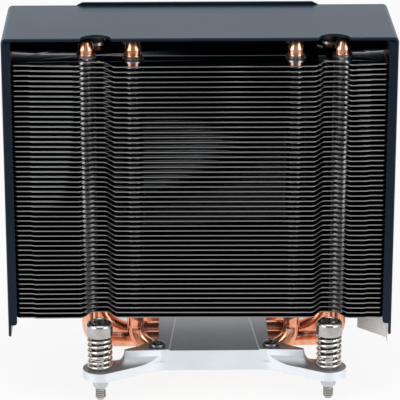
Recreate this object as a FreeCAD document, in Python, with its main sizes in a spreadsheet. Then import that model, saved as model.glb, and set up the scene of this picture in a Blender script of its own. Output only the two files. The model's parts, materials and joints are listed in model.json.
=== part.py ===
"""Passive server processor heatsink with a folded shroud, four U-shaped heat pipes and captive spring screws.

Frame: millimetres, +Z up, +Y towards the rear. The origin is the centre of the copper contact face.
"""
import FreeCAD, Part
import math
import os
import Sketcher

# Driving dimensions in millimetres, by the piece that they size.
SIZES = {
    # shroud, folded from one sheet
    "shroud_left": -75.3,
    "shroud_width": 140,
    "shroud_front": -30.5,
    "shroud_depth": 47,
    "shroud_top": 130,
    "shroud_sheet": 1,
    "wall_bottom": 17.5,
    "flange_width": 3.25,
    "flange_bottom": 21.8,
    "flange_corner_radius": 1.2,
    "bend_radius": 0.8,
    "driver_notch_radius": 5.5,
    "lip_left": -50,
    "lip_width": 89,
    "lip_height": 1.1,
    "baffle_bottom": 120.6,
    "baffle_gap": 0.7,
    # fins
    "fin_count": 52,
    "fin_pitch": 1.87,
    "fin_sheet": 0.45,
    "fin_lowest": 24.4,
    "fin_front": -30.1,
    "fin_rear": 15.4,
    "fin_corner": 3.3,
    "notch_depth": 5.7,
    "notch_mouth_half": 6.2,
    "notch_floor_half": 2.6,
    # heat pipes
    "pipe_radius": 3,
    "pipe_leg_top": 123,
    "pipe_tip_top": 127,
    "pipe_tip_radius": 1.1,
    "pipe_base_height": 5.6,
    "pipe_run_spacing": 9.5,
    "front_row": -19.2,
    "rear_row": 4.75,
    "front_inner_half": 29,
    "front_outer_half": 45.8,
    "rear_inner_half": 30,
    "rear_outer_half": 43,
    "front_inner_lean_top": 22.4,
    "front_inner_lean_foot": 16,
    "front_inner_lean_radius": 6,
    "front_inner_foot_radius": 9,
    "front_outer_knee_height": 12,
    "front_outer_knee_radius": 10,
    "front_outer_entry_half": 33,
    "front_outer_entry_radius": 12,
    "rear_outer_foot_radius": 12,
    "rear_inner_knee_height": 19,
    "rear_inner_knee_radius": 9,
    "rear_inner_entry_half": 25,
    "rear_inner_entry_radius": 6.5,
    # bracket
    "bracket_bottom": 1.5,
    "bracket_arm_height": 3.4,
    "bracket_block_height": 8.24,
    "bracket_front_half": 27,
    "bracket_corner_half": 32,
    "bracket_corner_radius": 1,
    "bracket_neck_half": 27.6,
    "bracket_neck_depth": 21.7,
    "bracket_waist_half": 20.4,
    "bracket_bar_depth": 18.4,
    "bracket_bar_half": 24.2,
    "arm_root_half": 19.5,
    "arm_pad_radius": 6.4,
    "arm_foot_radius": 4.6,
    "arm_foot_lap": 0.5,
    "arm_root_radius": 12,
    "relief_depth": 0.4,
    "relief_front_half": 16.5,
    "relief_rear_half": 12,
    # copper base plate
    "base_ear_half": 23.9,
    "base_ear_depth": 24.8,
    "base_play": 0.2,
    # pan-head screws that hold the bracket to the base plate
    "base_screw_half_x": 21.1,
    "base_screw_half_y": 21.5,
    "base_screw_radius": 1.5,
    "base_screw_head_radius": 3.1,
    "base_screw_head_height": 1.7,
    "base_screw_end": 1.6,
    # captive spring screws
    "screw_half_x": 42,
    "screw_half_y": 30.5,
    "cap_radius": 4.85,
    "cap_bottom": 17.9,
    "cap_top": 23.2,
    "cap_chamfer": 0.9,
    "recess_outer_radius": 2.5,
    "recess_inner_radius": 1.75,
    "recess_depth": 2.2,
    "stem_radius": 2,
    "neck_radius": 1.55,
    "neck_bottom": -3,
    "stud_radius": 1.95,
    "stud_chamfer": 0.7,
    "stud_bottom": -8.1,
    "pad_hole_radius": 2.3,
    # retaining sleeves under the bracket's pads
    "sleeve_radius": 2.85,
    "sleeve_foot_radius": 2.35,
    "sleeve_foot_height": 1.6,
    "sleeve_play": 0.06,
    "sleeve_top_gap": 0.05,
    # springs
    "spring_wire": 1.1,
    "spring_outer_radius": 4.7,
    "spring_turns": 6.5,
    "spring_end_pitch": 1.17,
    # paper tag on the right wall
    "tag_sheet": 0.3,
    "tag_bottom": 13.7,
    "tag_top": 24,
    "tag_leg_front": -29.2,
    "tag_fold": -24.2,
    "tag_reach": 9.8,
}

SPRING_STEPS_PER_TURN = 8
STEEPEST_STEP = 30
CORNERS = {"fl": (-1, -1), "fr": (1, -1), "rl": (-1, 1), "rr": (1, 1)}

doc = FreeCAD.newDocument("heatsink")
sheet = doc.addObject("Spreadsheet::Sheet", "Sizes")
for row, (alias, number) in enumerate(SIZES.items(), start=1):
    sheet.set(f"A{row}", alias.replace("_", " "))
    sheet.set(f"B{row}", str(number))
    sheet.setAlias(f"B{row}", alias)
doc.recompute()


class Dim:
    """A length held twice: as a number, and as the spreadsheet expression that gives it."""

    def __init__(self, number, text=None):
        self.number = float(number)
        self.text = text if text else f"({number})"

    def joined(self, other, sign, number):
        return Dim(number, f"({self.text} {sign} {other.text})")

    def __add__(self, other):
        other = dim(other)
        return self.joined(other, "+", self.number + other.number)

    def __sub__(self, other):
        other = dim(other)
        return self.joined(other, "-", self.number - other.number)

    def __mul__(self, other):
        other = dim(other)
        return self.joined(other, "*", self.number * other.number)

    def __neg__(self):
        return self * -1

    __radd__ = __add__
    __rmul__ = __mul__

    def __rsub__(self, other):
        return dim(other) - self


def dim(value):
    return value if isinstance(value, Dim) else Dim(value)


def size(alias):
    return Dim(float(getattr(sheet, alias)), f"Sizes.{alias}")


def bind(obj, prop, length):
    """Set a property's expression, so that the sheet drives it."""
    obj.setExpression(prop, dim(length).text)


def place(obj, x=0, y=0, z=0):
    for axis, length in zip("xyz", (x, y, z)):
        bind(obj, f"Placement.Base.{axis}", length)


# ---- Sketching helpers ------------------------------------------------------------------------------


def new_body(label, many_solids=False):
    body = doc.addObject("PartDesign::Body", label)
    body.Label = label
    body.AllowCompound = many_solids
    return body


def origin_part(body, role):
    return next(part for part in body.Origin.OriginFeatures if part.Role == role)


def new_sketch(body, name, plane, offset=0):
    """A sketch on one of the body's own origin planes, moved along the plane's normal."""
    sketch = body.newObject("Sketcher::SketchObject", name)
    sketch.AttachmentSupport = [(origin_part(body, plane), "")]
    sketch.MapMode = "FlatFace"
    bind(sketch, "AttachmentOffset.Base.z", offset)
    return sketch


def pin_point(sketch, geometry, point, x, y):
    """Hold a point of the sketch at x, y from the sketch's origin."""
    for kind, length in (("DistanceX", x), ("DistanceY", y)):
        length = dim(length)
        number = length.number if abs(length.number) > 1e-6 else 1e-6
        index = sketch.addConstraint(Sketcher.Constraint(kind, -1, 1, geometry, point, number))
        sketch.setExpression(f"Constraints[{index}]", length.text)


def flat(x, y):
    return FreeCAD.Vector(dim(x).number, dim(y).number, 0)


def draw_polygon(sketch, corners):
    """A closed outline of straight lines, with every corner held by the sheet."""
    first = sketch.GeometryCount
    count = len(corners)
    for index, corner in enumerate(corners):
        end = corners[(index + 1) % count]
        sketch.addGeometry(Part.LineSegment(flat(*corner), flat(*end)), False)
    for index in range(count):
        following = first + (index + 1) % count
        sketch.addConstraint(Sketcher.Constraint("Coincident", first + index, 2, following, 1))
    for index, corner in enumerate(corners):
        pin_point(sketch, first + index, 1, *corner)


def draw_rectangle(sketch, left, low, right, high):
    draw_polygon(sketch, [(left, low), (right, low), (right, high), (left, high)])


def draw_circle(sketch, x, y, radius):
    circle = Part.Circle(flat(x, y), FreeCAD.Vector(0, 0, 1), dim(radius).number)
    index = sketch.addGeometry(circle, False)
    pin_point(sketch, index, 3, x, y)
    held = sketch.addConstraint(Sketcher.Constraint("Radius", index, dim(radius).number))
    sketch.setExpression(f"Constraints[{held}]", dim(radius).text)


def stepped_route(points, radii):
    """A line through the points whose corner i + 1 is rounded to radii[i] in straight steps that
    touch the round, so that what follows the line stays true along its runs and has few faces."""
    route = [points[0]]
    for before, corner, after, radius in zip(points, points[1:], points[2:], radii):
        inwards = (corner - before).normalize()
        outwards = (after - corner).normalize()
        turn = inwards.getAngle(outwards)
        steps = math.ceil(math.degrees(turn) / STEEPEST_STEP)
        step = turn / steps
        towards_centre = (outwards - inwards * inwards.dot(outwards)).normalize()
        centre = corner - inwards * radius * math.tan(turn / 2) + towards_centre * radius
        reach = radius / math.cos(step / 2)
        for index in range(steps):
            heading = step * (index + 0.5)
            radial = inwards * math.sin(heading) - towards_centre * math.cos(heading)
            route.append(centre + radial * reach)
    route.append(points[-1])
    return route


def pad(body, sketch, name, length):
    feature = body.newObject("PartDesign::Pad", name)
    feature.Profile = sketch
    bind(feature, "Length", length)
    doc.recompute()
    return feature


def pocket(body, sketch, name, length, along_normal=False, both_sides=False):
    """Cut the sketch out of the body, and make sure that it does cut."""
    before = body.Shape.Volume
    feature = body.newObject("PartDesign::Pocket", name)
    feature.Profile = sketch
    feature.Midplane = both_sides
    feature.Reversed = along_normal
    bind(feature, "Length", length)
    doc.recompute()
    if not body.Shape.Volume < before:
        raise RuntimeError(f"{body.Label}: {name} cuts nothing")
    return feature


def revolve(body, sketch, name):
    feature = body.newObject("PartDesign::Revolution", name)
    feature.Profile = sketch
    feature.ReferenceAxis = (origin_part(body, "Z_Axis"), [""])
    feature.Angle = 360
    doc.recompute()
    return feature


def repeat_upwards(body, feature, name, count, pitch):
    """A row of the feature along +Z. The pattern's length runs from its first member to its last."""
    pattern = body.newObject("PartDesign::LinearPattern", name)
    pattern.Originals = [feature]
    pattern.Direction = (origin_part(body, "Z_Axis"), [""])
    bind(pattern, "Occurrences", count)
    bind(pattern, "Length", pitch * (count - 1))
    body.Tip = pattern
    doc.recompute()
    return pattern


def round_edges(body, feature, name, radius, chosen):
    """Fillet the edges of a feature whose middle point the test accepts."""
    names = [
        f"Edge{index}"
        for index, edge in enumerate(feature.Shape.Edges, start=1)
        if chosen(edge.valueAt((edge.FirstParameter + edge.LastParameter) / 2), edge)
    ]
    if not names:
        raise RuntimeError(f"{body.Label}: {name} finds no edge")
    fillet = body.newObject("PartDesign::Fillet", name)
    fillet.Base = (feature, names)
    bind(fillet, "Radius", radius)
    doc.recompute()
    return fillet


def near(a, b):
    return abs(a - dim(b).number) < 0.01


def direction(edge):
    return (edge.valueAt(edge.LastParameter) - edge.valueAt(edge.FirstParameter)).normalize()


# ---- Shroud -----------------------------------------------------------------------------------------


def make_shroud():
    """Top and two walls folded from one sheet, with flanges turned in at the front and rear edges, and
    a baffle across the rear above the fins."""
    body = new_body("shroud")
    left = size("shroud_left")
    right = left + size("shroud_width")
    top = size("shroud_top")
    low = size("wall_bottom")
    sheet_metal = size("shroud_sheet")
    front = size("shroud_front")
    rear = front + size("shroud_depth")

    profile = new_sketch(body, "shroud_profile", "XZ_Plane", -rear)
    draw_polygon(profile, [
        (left, low),
        (left, top),
        (right, top),
        (right, low),
        (right - sheet_metal, low),
        (right - sheet_metal, top - sheet_metal),
        (left + sheet_metal, top - sheet_metal),
        (left + sheet_metal, low),
    ])
    folded = pad(body, profile, "shroud_fold", size("shroud_depth"))
    outer_bend = size("bend_radius") + sheet_metal
    folded = round_edges(
        body, folded, "outer_bends", outer_bend,
        lambda p, e: near(p.z, top) and abs(direction(e).y) > 0.99)
    folded = round_edges(
        body, folded, "inner_bends", size("bend_radius"),
        lambda p, e: near(p.z, top - sheet_metal) and abs(direction(e).y) > 0.99)

    for name, plane_y in (("front_flanges", front + sheet_metal), ("rear_flanges", rear)):
        flanges = new_sketch(body, name + "_outline", "XZ_Plane", -plane_y)
        flange_top = top - outer_bend
        inner = size("flange_width")
        low_flange = size("flange_bottom")
        draw_rectangle(flanges, left + sheet_metal * 0.5, low_flange, left + inner, flange_top)
        draw_rectangle(flanges, right - inner, low_flange, right - sheet_metal * 0.5, flange_top)
        folded = pad(body, flanges, name, sheet_metal)

    def flange_corner(point, edge):
        inner_edge = near(point.x, left + size("flange_width")) or near(point.x, right - size("flange_width"))
        return inner_edge and near(point.z, size("flange_bottom")) and abs(direction(edge).y) > 0.99

    folded = round_edges(body, folded, "flange_corners", size("flange_corner_radius"), flange_corner)

    def wall_bend(point, edge):
        outside = near(point.x, left) or near(point.x, right)
        at_face = near(point.y, front) or near(point.y, rear)
        return outside and at_face and abs(direction(edge).z) > 0.99

    round_edges(body, folded, "flange_bends", size("bend_radius"), wall_bend)

    notches = new_sketch(body, "driver_notch_outline", "XY_Plane", top)
    for side in (-1, 1):
        draw_circle(notches, side * size("screw_half_x"), front, size("driver_notch_radius"))
    pocket(body, notches, "driver_notches", sheet_metal * 2)

    # the sheet that closes the rear above the fins; its middle stands up behind the top as a lip
    baffle = new_sketch(body, "baffle_outline", "XZ_Plane", -rear)
    in_left = left + sheet_metal * 0.5
    in_right = right - sheet_metal * 0.5
    baffle_low = size("baffle_bottom")
    baffle_high = top - sheet_metal - size("baffle_gap")
    lip_left = size("lip_left")
    lip_right = lip_left + size("lip_width")
    rise = size("lip_height")
    draw_polygon(baffle, [
        (in_left, baffle_low),
        (in_right, baffle_low),
        (in_right, baffle_high),
        (lip_right, baffle_high),
        (lip_right, top),
        (lip_right - rise * 2, top + rise),
        (lip_left + rise * 2, top + rise),
        (lip_left, top),
        (lip_left, baffle_high),
        (in_left, baffle_high),
    ])
    pad(body, baffle, "rear_baffle", sheet_metal)
    return body


# ---- Fins -------------------------------------------------------------------------------------------


def leg_places():
    """Where the eight legs of the heat pipes pass through the fins."""
    rows = (
        ("front_inner_half", "front_row"),
        ("front_outer_half", "front_row"),
        ("rear_inner_half", "rear_row"),
        ("rear_outer_half", "rear_row"),
    )
    return [(side * size(half), size(row)) for half, row in rows for side in (-1, 1)]


def draw_octagon(sketch, x, y, radius):
    """Eight sides round a circle of the given radius, touching it with each."""
    half_side = radius * round(math.tan(math.pi / 8), 6)
    steps = [
        (radius, half_side),
        (half_side, radius),
        (-half_side, radius),
        (-radius, half_side),
        (-radius, -half_side),
        (-half_side, -radius),
        (half_side, -radius),
        (radius, -half_side),
    ]
    draw_polygon(sketch, [(x + right, y + back) for right, back in steps])


def draw_leg_window(sketch, side, nearer, farther):
    """One window for a front leg and the rear leg behind it. nearer and farther are half widths."""
    radius = size("pipe_radius")
    inside = side * (size(nearer) - radius)
    outside = side * (size(farther) + radius)
    draw_rectangle(sketch, inside, size("front_row") - radius, outside, size("rear_row") + radius)


def draw_fin_outline(sketch):
    """The fin's edge, with its corners cut back behind the flanges and a notch for each driver."""
    sheet_metal = size("shroud_sheet")
    left = size("shroud_left") + sheet_metal
    right = left + size("shroud_width") - sheet_metal * 2
    front = size("fin_front")
    rear = size("fin_rear")
    cut = size("fin_corner")
    floor = front + size("notch_depth")
    mouth_half = size("notch_mouth_half")
    floor_half = size("notch_floor_half")
    corners = [(left, rear), (left, front + cut), (left + cut, front)]
    for side in (-1, 1):
        centre = side * size("screw_half_x")
        corners += [
            (centre - mouth_half, front),
            (centre - floor_half, floor),
            (centre + floor_half, floor),
            (centre + mouth_half, front),
        ]
    corners += [(right - cut, front), (right, front + cut), (right, rear)]
    draw_polygon(sketch, corners)


def make_fin_stack():
    """52 stamped fins. The two end fins show their holes, one for each leg. The fins between have a
    window for each front leg and the leg behind it, which keeps the faces of the stack few."""
    body = new_body("fin_stack", many_solids=True)
    lowest = size("fin_lowest")
    gauge = size("fin_sheet")
    pitch = size("fin_pitch")
    count = size("fin_count")

    end_fin = new_sketch(body, "end_fin_outline", "XY_Plane", lowest)
    draw_fin_outline(end_fin)
    for x, y in leg_places():
        draw_octagon(end_fin, x, y, size("pipe_radius"))
    lowest_fin = pad(body, end_fin, "end_fin", gauge)
    repeat_upwards(body, lowest_fin, "end_fins", dim(2), pitch * (count - 1))

    inner_fin = new_sketch(body, "inner_fin_outline", "XY_Plane", lowest + pitch)
    draw_fin_outline(inner_fin)
    for side in (-1, 1):
        draw_leg_window(inner_fin, side, "front_inner_half", "rear_inner_half")
        draw_leg_window(inner_fin, side, "rear_outer_half", "front_outer_half")
    second_fin = pad(body, inner_fin, "inner_fin", gauge)
    repeat_upwards(body, second_fin, "inner_fins", count - 2, pitch)
    return body


# ---- Heat pipes -------------------------------------------------------------------------------------


def make_heat_pipe(label, half, row, knees, radii):
    """A copper tube bent to a U. knees are the corners from the left leg down to the run in the base."""
    leg_top = size("pipe_leg_top")
    left_side = [FreeCAD.Vector(-half.number, row.number, leg_top.number)]
    left_side += [FreeCAD.Vector(*(dim(length).number for length in knee)) for knee in knees]
    right_side = [FreeCAD.Vector(-p.x, p.y, p.z) for p in reversed(left_side)]
    radii = [radius.number for radius in radii]

    path = doc.addObject("Part::Feature", label + "_path")
    path.Shape = Part.makePolygon(stepped_route(left_side + right_side, radii + radii[::-1]))

    section = doc.addObject("Part::Circle", label + "_section")
    bind(section, "Radius", size("pipe_radius"))
    place(section, -half, row, leg_top)

    bent = doc.addObject("Part::Sweep", label + "_tube")
    bent.Sections = [section]
    bent.Spine = (path, [f"Edge{n}" for n in range(1, len(path.Shape.Edges) + 1)])
    bent.Solid = True
    bent.Frenet = False
    bent.Transition = "Right corner"

    tips = []
    for side in (-1, 1):
        tip = doc.addObject("Part::Cone", label + ("_left_tip" if side < 0 else "_right_tip"))
        bind(tip, "Radius1", size("pipe_radius"))
        bind(tip, "Radius2", size("pipe_tip_radius"))
        bind(tip, "Height", size("pipe_tip_top") - leg_top)
        place(tip, side * half, row, leg_top)
        tips.append(tip)

    pipe = doc.addObject("Part::MultiFuse", label)
    pipe.Label = label
    pipe.Shapes = [bent] + tips
    doc.recompute()
    section_area = math.pi * size("pipe_radius").number ** 2
    expected = section_area * path.Shape.Length
    if abs(bent.Shape.Volume - expected) > 0.01 * expected:
        raise RuntimeError(f"{label}: the tube's volume is not its section times its length")
    return pipe


def make_heat_pipes():
    """Four pipes. The front ones lean back, and the inner rear one on to its own groove, so that
    their runs lie side by side in the base plate."""
    base = size("pipe_base_height")
    runs = [size("pipe_run_spacing") * (index - 1.5) for index in range(4)]
    front = size("front_row")
    rear = size("rear_row")

    half = size("front_inner_half")
    front_inner = make_heat_pipe(
        "heat_pipe_front_inner", half, front,
        [
            (-half, front, size("front_inner_lean_top")),
            (-half, runs[0], size("front_inner_lean_foot")),
            (-half, runs[0], base),
        ],
        [size("front_inner_lean_radius"), size("front_inner_lean_radius"), size("front_inner_foot_radius")])

    half = size("front_outer_half")
    front_outer = make_heat_pipe(
        "heat_pipe_front_outer", half, front,
        [
            (-half, front, size("front_outer_knee_height")),
            (-size("front_outer_entry_half"), runs[1], base),
        ],
        [size("front_outer_knee_radius"), size("front_outer_entry_radius")])

    half = size("rear_outer_half")
    rear_outer = make_heat_pipe(
        "heat_pipe_rear_outer", half, rear, [(-half, runs[2], base)], [size("rear_outer_foot_radius")])

    half = size("rear_inner_half")
    rear_inner = make_heat_pipe(
        "heat_pipe_rear_inner", half, rear,
        [
            (-half, rear, size("rear_inner_knee_height")),
            (-size("rear_inner_entry_half"), runs[3], base),
        ],
        [size("rear_inner_knee_radius"), size("rear_inner_entry_radius")])
    return [front_inner, front_outer, rear_outer, rear_inner]


# ---- Bracket and base plate -------------------------------------------------------------------------


def arm_corners(side_x, side_y):
    """Where an arm's front and rear lines leave the block, and where they touch the round pad."""
    centre = flat(side_x * size("screw_half_x"), side_y * size("screw_half_y"))
    reach = size("arm_pad_radius").number
    front = (side_x * size("arm_root_half"), side_y * size("bracket_front_half"))
    rear = (side_x * size("bracket_neck_half"), side_y * size("bracket_neck_depth"))

    def touch(corner, turn):
        towards = flat(*corner) - centre
        heading = math.atan2(towards.y, towards.x) + math.acos(reach / towards.Length) * turn
        return centre + FreeCAD.Vector(math.cos(heading), math.sin(heading), 0) * reach

    turn = -side_x * side_y
    return front, touch(front, turn), touch(rear, -turn), rear


def draw_arm(sketch, side_x, side_y):
    """One arm: a line tangent to the round pad, the pad's arc, and a line back to the block."""
    pad_x = side_x * size("screw_half_x")
    pad_y = side_y * size("screw_half_y")
    radius = size("arm_pad_radius")
    root_front, front_touch, rear_touch, root_rear = arm_corners(side_x, side_y)
    inside = (side_x * size("arm_root_half"), side_y * size("bracket_bar_depth"))
    centre = flat(pad_x, pad_y)
    outward = (centre - flat(*root_rear)).normalize() * radius.number

    front_line = sketch.addGeometry(Part.LineSegment(flat(*root_front), front_touch), False)
    arc = sketch.addGeometry(Part.Arc(front_touch, centre + outward, rear_touch), False)
    rear_line = sketch.addGeometry(Part.LineSegment(rear_touch, flat(*root_rear)), False)
    back = sketch.addGeometry(Part.LineSegment(flat(*root_rear), flat(*inside)), False)
    close = sketch.addGeometry(Part.LineSegment(flat(*inside), flat(*root_front)), False)

    # an arc runs anticlockwise, so which of its ends meets which line depends on the quadrant
    start = sketch.getPoint(arc, 1)
    arc_front, arc_rear = (1, 2) if (start - front_touch).Length < 0.01 else (2, 1)
    sketch.addConstraint([
        Sketcher.Constraint("Tangent", front_line, 2, arc, arc_front),
        Sketcher.Constraint("Tangent", rear_line, 1, arc, arc_rear),
        Sketcher.Constraint("Coincident", rear_line, 2, back, 1),
        Sketcher.Constraint("Coincident", back, 2, close, 1),
        Sketcher.Constraint("Coincident", close, 2, front_line, 1),
    ])
    pin_point(sketch, front_line, 1, *root_front)
    pin_point(sketch, back, 1, *root_rear)
    pin_point(sketch, close, 1, *inside)
    pin_point(sketch, arc, 3, pad_x, pad_y)
    held = sketch.addConstraint(Sketcher.Constraint("Radius", arc, radius.number))
    sketch.setExpression(f"Constraints[{held}]", radius.text)


def block_edge(side_x, side_y):
    """The block's outline along one arm: its front, the rounded corner in steps, and back to the neck."""
    return stepped_route([
        flat(side_x * size("arm_root_half"), side_y * size("bracket_front_half")),
        flat(side_x * size("bracket_corner_half"), side_y * size("bracket_front_half")),
        flat(side_x * size("bracket_neck_half"), side_y * size("bracket_neck_depth")),
    ], [size("bracket_corner_radius").number])


def sweep_arm_foot(body, name, side_x, side_y):
    """The hollow round that runs along an arm's foot, on the block's front, round its corner and back."""
    shelf = size("bracket_bottom") + size("bracket_arm_height")
    front = side_y * size("bracket_front_half")
    radius = size("arm_foot_radius")
    route = block_edge(side_x, side_y)

    path = new_sketch(body, "arm_foot_path_" + name, "XY_Plane", shelf)
    for near_end, far_end in zip(route, route[1:]):
        held = path.addGeometry(Part.LineSegment(near_end, far_end), False)
        path.addConstraint(Sketcher.Constraint("Block", held))

    hollow = new_sketch(body, "arm_foot_outline_" + name, "YZ_Plane", side_x * size("arm_root_half"))
    inner = front - side_y * size("arm_foot_lap")
    outer = front + side_y * radius
    corners = [(front, shelf + radius), (inner, shelf + radius), (inner, shelf), (outer, shelf)]
    for near_end, far_end in zip(corners, corners[1:]):
        held = hollow.addGeometry(Part.LineSegment(flat(*near_end), flat(*far_end)), False)
        hollow.addConstraint(Sketcher.Constraint("Block", held))
    deepest = flat(outer, shelf + radius) - FreeCAD.Vector(side_y, 1, 0).normalize() * radius.number
    held = hollow.addGeometry(Part.Arc(flat(*corners[-1]), deepest, flat(*corners[0])), False)
    hollow.addConstraint(Sketcher.Constraint("Block", held))

    swept = body.newObject("PartDesign::AdditivePipe", "arm_foot_" + name)
    swept.Profile = hollow
    swept.Spine = (path, [f"Edge{n}" for n in range(1, len(route))])
    swept.Transition = "Right corner"
    doc.recompute()


def draw_past_arm(sketch, side_x, side_y):
    """Two triangles beside an arm, where the round of its foot would reach past the arm's edges."""
    root_front, front_touch, rear_touch, root_rear = arm_corners(side_x, side_y)
    reach = size("arm_foot_radius").number * 2

    root = flat(*root_front)
    along_front = (front_touch - root).normalize()
    past_front = root + along_front * (reach / abs(along_front.y))
    beside = FreeCAD.Vector(root.x, past_front.y, 0)

    neck = flat(*root_rear)
    corner = flat(side_x * size("bracket_corner_half"), side_y * size("bracket_front_half"))
    back = (neck - corner).normalize()
    outwards = FreeCAD.Vector(-back.y, back.x, 0) * (side_x * side_y)
    past_neck = neck + (rear_touch - neck).normalize() * reach

    for triangle in ((root, past_front, beside), (neck, past_neck, neck + outwards * reach)):
        draw_polygon(sketch, [(p.x, p.y) for p in triangle])


def base_screw_places():
    return [
        (side_x * size("base_screw_half_x"), side_y * size("base_screw_half_y"))
        for side_x, side_y in CORNERS.values()
    ]


def draw_pipe_grooves(sketch):
    for index in range(4):
        along_y = size("pipe_run_spacing") * (index - 1.5)
        draw_circle(sketch, along_y, size("pipe_base_height"), size("pipe_radius"))


def mirrored_corners(quarter):
    """A closed outline with four like quarters, from one quarter's corners in order from the front."""
    front_right = [(x, -y) for x, y in quarter]
    rear_right = [(x, y) for x, y in reversed(quarter)]
    rear_left = [(-x, y) for x, y in quarter]
    front_left = [(-x, -y) for x, y in reversed(quarter)]
    return front_right + rear_right + rear_left + front_left


def make_bracket():
    """Machined aluminium bracket: a block over the base plate, and four low arms with round pads."""
    body = new_body("bracket")
    bottom = size("bracket_bottom")
    front = size("bracket_front_half")
    waist = size("bracket_waist_half")
    bar = size("bracket_bar_depth")
    block_height = size("bracket_block_height")

    block = new_sketch(body, "block_outline", "XY_Plane", bottom)
    rounded = [(p.x, p.y) for p in block_edge(1, 1)[1:-1]]
    draw_polygon(block, mirrored_corners(rounded + [
        (size("bracket_neck_half"), size("bracket_neck_depth")),
        (size("bracket_bar_half"), bar),
        (waist, bar),
    ]))
    pad(body, block, "block", block_height)

    for name, (side_x, side_y) in CORNERS.items():
        arm = new_sketch(body, "arm_outline_" + name, "XY_Plane", bottom)
        draw_arm(arm, side_x, side_y)
        joined = pad(body, arm, "arm_" + name, size("bracket_arm_height"))

    def arm_root(point, edge):
        at_corner = near(abs(point.x), size("arm_root_half")) and near(abs(point.y), front)
        return at_corner and abs(direction(edge).z) > 0.99

    round_edges(body, joined, "arm_roots", size("arm_root_radius"), arm_root)

    for name, (side_x, side_y) in CORNERS.items():
        sweep_arm_foot(body, name, side_x, side_y)
    past = new_sketch(body, "past_arm_outline", "XY_Plane", bottom + size("bracket_arm_height"))
    for side_x, side_y in CORNERS.values():
        draw_past_arm(past, side_x, side_y)
    pocket(body, past, "past_arms", size("arm_foot_radius"), along_normal=True)

    relief = new_sketch(body, "relief_outline", "XY_Plane", bottom + block_height)
    relief_front = size("relief_front_half")
    relief_rear = size("relief_rear_half")
    draw_polygon(relief, [
        (-relief_front, -front - 1),
        (relief_front, -front - 1),
        (relief_rear, front + 1),
        (-relief_rear, front + 1),
    ])
    pocket(body, relief, "relief", size("relief_depth"))

    play = size("base_play")
    seat = new_sketch(body, "base_seat_outline", "XY_Plane", bottom)
    draw_polygon(seat, mirrored_corners([
        (size("base_ear_half") + play, size("base_ear_depth") + play),
        (size("base_ear_half") + play, bar - play),
        (waist + play, bar - play),
    ]))
    pocket(body, seat, "base_seat", size("pipe_base_height") - bottom, along_normal=True)

    grooves = new_sketch(body, "pipe_groove_outline", "YZ_Plane")
    draw_pipe_grooves(grooves)
    pocket(body, grooves, "pipe_grooves", waist * 2 + 2, both_sides=True)

    holes = new_sketch(body, "hole_outline", "XY_Plane", bottom + block_height)
    for x, y in base_screw_places():
        draw_circle(holes, x, y, size("base_screw_radius"))
    for side_x, side_y in CORNERS.values():
        x = side_x * size("screw_half_x")
        y = side_y * size("screw_half_y")
        draw_circle(holes, x, y, size("pad_hole_radius"))
    pocket(body, holes, "holes", block_height)
    return body


def make_base_plate():
    """Copper plate with a half-round groove for each heat pipe, and ears for the bracket's screws."""
    body = new_body("base_plate")
    waist = size("bracket_waist_half")
    step = size("bracket_bar_depth") - size("base_play") * 2
    ear = size("base_ear_half")
    outline = new_sketch(body, "plate_outline", "XY_Plane")
    draw_polygon(outline, mirrored_corners([(ear, size("base_ear_depth")), (ear, step), (waist, step)]))
    pad(body, outline, "plate", size("pipe_base_height"))

    grooves = new_sketch(body, "pipe_groove_outline", "YZ_Plane")
    draw_pipe_grooves(grooves)
    pocket(body, grooves, "pipe_grooves", ear * 2 + 2, both_sides=True)

    holes = new_sketch(body, "tapped_hole_outline", "XY_Plane", size("pipe_base_height"))
    for x, y in base_screw_places():
        draw_circle(holes, x, y, size("base_screw_radius"))
    pocket(body, holes, "tapped_holes", size("pipe_base_height") - size("base_screw_end"))
    return body


# ---- Fasteners --------------------------------------------------------------------------------------


def draw_star(sketch, x, y, outer, inner):
    """The six-lobed outline of a driver recess."""
    corners = []
    for index in range(12):
        radius = outer if index % 2 == 0 else inner
        heading = math.radians(30 * index)
        corners.append((x + radius * round(math.cos(heading), 6), y + radius * round(math.sin(heading), 6)))
    draw_polygon(sketch, corners)


def make_base_screws():
    """Four pan-head screws, which hold the bracket down on the base plate's ears."""
    screws = []
    seat = size("bracket_bottom") + size("bracket_block_height")
    for name, (x, y) in zip(CORNERS, base_screw_places()):
        body = new_body("base_screw_" + name)
        head = size("base_screw_head_radius")
        height = size("base_screw_head_height")
        profile = new_sketch(body, "profile", "XZ_Plane")
        draw_polygon(profile, [
            (0, size("base_screw_end")),
            (size("base_screw_radius"), size("base_screw_end")),
            (size("base_screw_radius"), seat),
            (head, seat),
            (head, seat + height * 0.5),
            (head * 0.7, seat + height),
            (0, seat + height),
        ])
        revolve(body, profile, "turned")
        recess = new_sketch(body, "recess_outline", "XY_Plane", seat + height)
        arm = head * 0.52
        web = head * 0.16
        draw_polygon(recess, mirrored_corners([(web, arm), (web, web), (arm, web)]))
        pocket(body, recess, "cross_recess", height * 0.6)
        place(body, x, y)
        screws.append(body)
    group = doc.addObject("Part::Compound", "base_screws")
    group.Label = "base_screws"
    group.Links = screws
    doc.recompute()
    return group


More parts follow.
